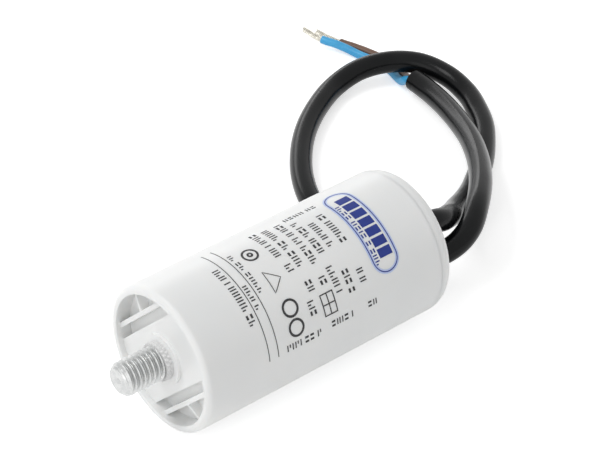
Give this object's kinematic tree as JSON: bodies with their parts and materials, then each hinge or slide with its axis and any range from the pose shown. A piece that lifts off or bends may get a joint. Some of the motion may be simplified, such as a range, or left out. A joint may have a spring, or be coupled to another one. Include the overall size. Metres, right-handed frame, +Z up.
{
  "type": "motor run capacitor",
  "caption": "Round white plastic can lying on its side, with a threaded metal stud in its ribbed recessed base and a black two-core cable looping from its other end.",
  "frame": {"origin": "on the surface that the can lies on, under the middle of the length from the stud's tip to the gland's end", "axes": "+X along the can's axis from the stud to the cable, +Z up from the surface that it lies on"},
  "size_m": [0.1522, 0.1191, 0.035],
  "materials": {
    "can_white": "satin, slightly translucent white",
    "plated_steel": "zinc-plated, turned",
    "sheath_black": "satin PVC",
    "wire_blue": "satin PVC",
    "wire_brown": "satin PVC",
    "tinned_strand": "tinned copper strands",
    "gland_black": "matte moulded",
    "film": "metallised film, end view of tight turns",
    "core_tube": "matte",
    "wrap_film": "clear film over the winding",
    "sprayed_zinc": "rough sprayed metal",
    "solder": "bright solder",
    "resin": "cast potting resin"
  },
  "bodies": {
    "root": {"case": "can_white", "stud": "plated_steel", "lid": "can_white", "cable_gland": "gland_black", "film_winding": "film", "winding_core": "core_tube", "winding_wrap": "wrap_film", "base_contact": "sprayed_zinc", "lid_contact": "sprayed_zinc", "base_solder": "solder", "lid_solder": "solder", "brown_lead": "wire_brown", "blue_lead": "wire_blue", "brown_lead_strands": "tinned_strand", "blue_lead_strands": "tinned_strand", "potting_resin": "resin", "cable_sheath": "sheath_black", "blue_conductor": "wire_blue", "brown_conductor": "wire_brown", "blue_strand_tip": "tinned_strand", "brown_strand_tip": "tinned_strand"}
  },
  "joints": []
}
